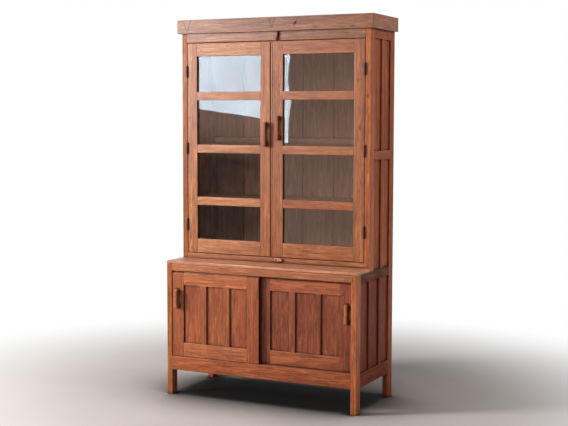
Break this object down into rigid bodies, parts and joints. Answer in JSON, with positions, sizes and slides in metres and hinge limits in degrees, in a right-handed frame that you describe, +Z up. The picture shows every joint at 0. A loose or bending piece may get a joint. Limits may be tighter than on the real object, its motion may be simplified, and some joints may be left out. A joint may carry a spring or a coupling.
{
  "type": "glazed kitchen cupboard",
  "caption": "Tall wooden kitchen cupboard: hinged glazed doors above, sliding panelled doors below, on square post legs, with a flat crown board.",
  "frame": {"origin": "floor level, at the middle of the whole outline seen from above, with the front sliding door's handle counted", "axes": "+Z up, front faces -Y, +X to the viewer's right"},
  "size_m": [1.104, 0.512, 1.95],
  "materials": {
    "teak_front": "worn waxed teak, orange tan",
    "teak_sliding_doors": "worn waxed teak, redder brown",
    "teak_sides": "worn waxed teak, darker brown",
    "belt_wood": "dark greyish brown, matt",
    "softwood_back": "dry unpolished wood",
    "glass": "clear flat glass",
    "black_iron": "black, dull",
    "steel": "dull steel"
  },
  "bodies": {
    "carcass": {"base_front_post_left": "teak_front", "base_front_post_right": "teak_front", "rear_post_left": "teak_sides", "rear_post_right": "teak_sides", "base_front_top_rail": "teak_front", "base_front_bottom_rail": "teak_front", "sliding_door_tracks": "teak_sliding_doors", "belt_rails": "belt_wood", "base_side_bottom_rails": "teak_sides", "upper_side_rails": "teak_sides", "side_muntins": "teak_sides", "side_panels": "teak_sides", "base_floor": "softwood_back", "counter_board": "teak_front", "back_rails": "softwood_back", "back_boards": "softwood_back", "upper_front_post_left": "teak_front", "upper_front_post_right": "teak_front", "upper_front_top_rail": "teak_front", "upper_front_bottom_rail": "teak_front", "rail_pegs": "teak_sides", "top_board": "softwood_back", "crown_boards": "teak_front", "crown_nails": "steel", "shelves": "softwood_back", "cleats": "softwood_back", "post_hinge_leaves": "black_iron", "hinge_pins": "black_iron", "post_hinge_screws": "steel", "turn_button_pivots": "steel"},
    "left_glazed_door": {"left_glazed_hinge_stile": "teak_front", "left_glazed_meeting_stile": "teak_front", "left_glazed_rails": "teak_front", "left_glazed_bars": "teak_front", "left_glazed_panes": "glass", "left_glazed_beads": "teak_front", "left_glazed_handle": "teak_front", "left_glazed_hinge_leaves": "black_iron", "left_glazed_hinge_screws": "steel"},
    "left_sliding_door": {"left_sliding_stiles": "teak_sliding_doors", "left_sliding_rails": "teak_sliding_doors", "left_sliding_muntins": "teak_sliding_doors", "left_sliding_panels": "teak_sliding_doors", "left_sliding_handle": "teak_sliding_doors"},
    "right_glazed_door": {"right_glazed_hinge_stile": "teak_front", "right_glazed_meeting_stile": "teak_front", "right_glazed_rails": "teak_front", "right_glazed_bars": "teak_front", "right_glazed_panes": "glass", "right_glazed_beads": "teak_front", "right_glazed_handle": "teak_front", "right_glazed_hinge_leaves": "black_iron", "right_glazed_hinge_screws": "steel"},
    "right_sliding_door": {"right_sliding_stiles": "teak_sliding_doors", "right_sliding_rails": "teak_sliding_doors", "right_sliding_muntins": "teak_sliding_doors", "right_sliding_panels": "teak_sliding_doors", "right_sliding_handle": "teak_sliding_doors"},
    "top_turn_button_body": {"top_turn_button": "teak_front"},
    "bottom_turn_button_body": {"bottom_turn_button": "teak_front"}
  },
  "joints": [
    {"name": "left_glazed_hinge", "type": "hinge", "parent": "carcass", "child": "left_glazed_door", "pos_m": [-0.5028, -0.0684, 1.281], "axis": [0, 0, -1], "range_deg": [0, 170]},
    {"name": "right_glazed_hinge", "type": "hinge", "parent": "carcass", "child": "right_glazed_door", "pos_m": [0.5028, -0.0684, 1.281], "axis": [0, 0, 1], "range_deg": [0, 170]},
    {"name": "left_sliding_travel", "type": "slide", "parent": "carcass", "child": "left_sliding_door", "axis": [1, 0, 0], "range_m": [0, 0.465]},
    {"name": "right_sliding_travel", "type": "slide", "parent": "carcass", "child": "right_sliding_door", "axis": [1, 0, 0], "range_m": [-0.465, 0]},
    {"name": "top_button_turn", "type": "hinge", "parent": "carcass", "child": "top_turn_button_body", "pos_m": [0.023, -0.0715, 1.84193], "axis": [0, 1, 0], "range_deg": [0, 178]},
    {"name": "bottom_button_turn", "type": "hinge", "parent": "carcass", "child": "bottom_turn_button_body", "pos_m": [0.023, -0.0715, 0.71901], "axis": [0, -1, 0], "range_deg": [0, 90]}
  ]
}
